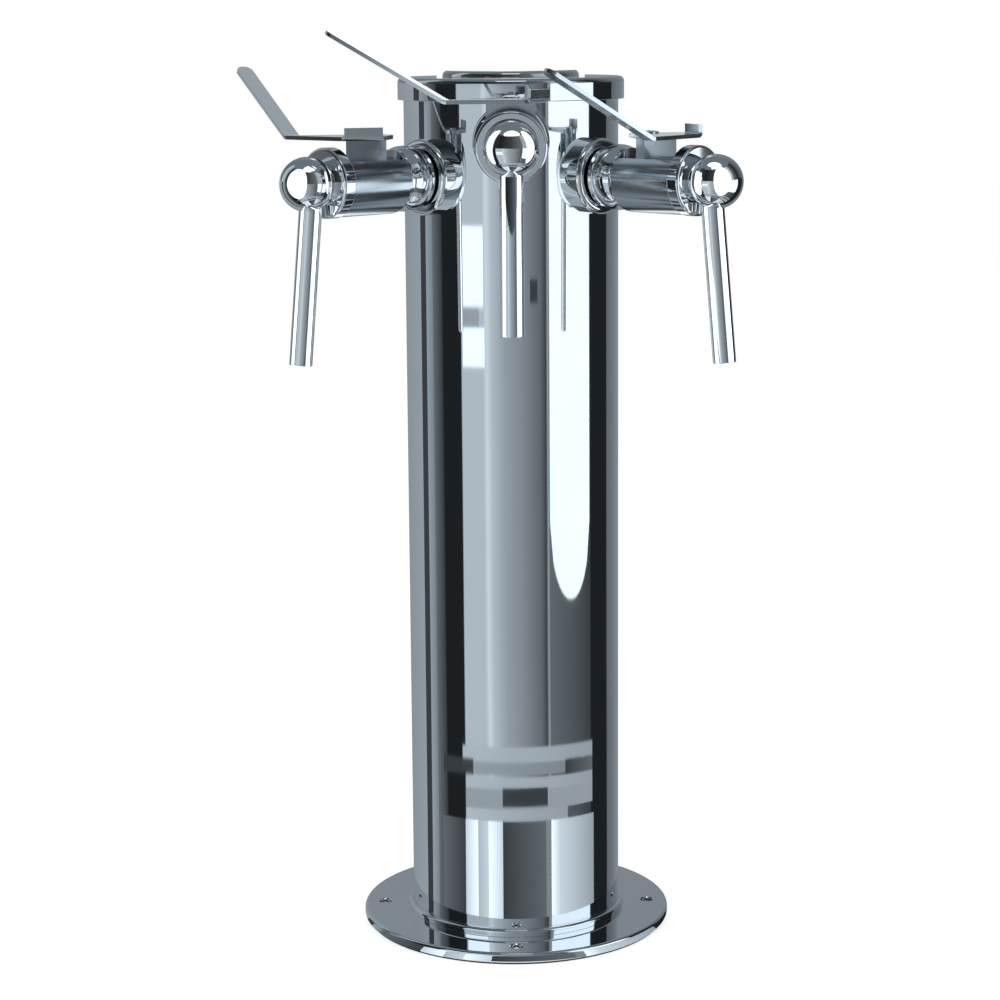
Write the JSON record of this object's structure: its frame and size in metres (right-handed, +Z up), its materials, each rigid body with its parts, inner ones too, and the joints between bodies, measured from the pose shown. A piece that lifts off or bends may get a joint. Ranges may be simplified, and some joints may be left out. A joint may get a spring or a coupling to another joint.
{
  "type": "draft wine tower",
  "caption": "Upright polished column on a round screwed base, with quarter-turn ball taps near its top, each with a cranked flat lever and a straight spout.",
  "frame": {"origin": "middle of the underside of the base gasket, on the column's axis, at the surface that the tower stands on", "axes": "+Z up along the column; -Y to the front, the way the middle tap points; +X to the right of a person who faces the taps"},
  "size_m": [0.2313, 0.2127, 0.4347],
  "materials": {
    "polished_column": "mirror-polished stainless steel, upright tube",
    "polished_base": "mirror-polished stainless steel, turned flange, ring and cap",
    "chromed_tap": "bright chrome on turned brass",
    "lever_steel": "bright chrome on pressed sheet",
    "inner_steel": "drawn or turned stainless steel",
    "brass_nut": "turned brass",
    "valve_plastic": "white fluoropolymer",
    "guide_plastic": "white moulded plastic",
    "rubber": "black food-safe rubber"
  },
  "bodies": {
    "tower": {"base_gasket": "rubber", "base_flange": "polished_base", "foot_ring": "polished_base", "column_tube": "polished_column", "pipe_guide": "guide_plastic", "top_cap": "polished_base", "cap_seal": "rubber", "saddle_washers": "inner_steel", "lock_nuts": "brass_nut", "ferrules": "brass_nut", "tail_nuts": "brass_nut", "coupling_gaskets": "rubber", "ball_seats": "valve_plastic", "stem_bushes": "valve_plastic", "stem_seals": "rubber", "spout_seals": "rubber", "rosette_left": "chromed_tap", "rosette_front": "chromed_tap", "rosette_right": "chromed_tap", "shank_left": "chromed_tap", "shank_front": "chromed_tap", "shank_right": "chromed_tap", "product_pipe_left": "inner_steel", "product_pipe_front": "inner_steel", "product_pipe_right": "inner_steel", "coupling_nut_left": "chromed_tap", "coupling_nut_front": "chromed_tap", "coupling_nut_right": "chromed_tap", "tap_body_left": "chromed_tap", "tap_body_front": "chromed_tap", "tap_body_right": "chromed_tap", "end_ring_left": "chromed_tap", "end_ring_front": "chromed_tap", "end_ring_right": "chromed_tap", "nose_ball_left": "chromed_tap", "nose_ball_front": "chromed_tap", "nose_ball_right": "chromed_tap", "spout_tube_left": "chromed_tap", "spout_tube_front": "chromed_tap", "spout_tube_right": "chromed_tap"},
    "handle_left": {"lever_left": "lever_steel", "lever_screw_left": "lever_steel", "valve_stem_left": "inner_steel", "valve_ball_left": "inner_steel"},
    "handle_front": {"lever_front": "lever_steel", "lever_screw_front": "lever_steel", "valve_stem_front": "inner_steel", "valve_ball_front": "inner_steel"},
    "handle_right": {"lever_right": "lever_steel", "lever_screw_right": "lever_steel", "valve_stem_right": "inner_steel", "valve_ball_right": "inner_steel"}
  },
  "joints": [
    {"name": "tap_left", "type": "hinge", "parent": "tower", "child": "handle_left", "pos_m": [-0.06258, -0.06044, 0.3856], "axis": [0, 0, 1], "range_deg": [0, 90]},
    {"name": "tap_front", "type": "hinge", "parent": "tower", "child": "handle_front", "pos_m": [0, -0.087, 0.4024], "axis": [0, 0, 1], "range_deg": [0, 90]},
    {"name": "tap_right", "type": "hinge", "parent": "tower", "child": "handle_right", "pos_m": [0.06258, -0.06044, 0.3856], "axis": [0, 0, 1], "range_deg": [0, 90]}
  ]
}
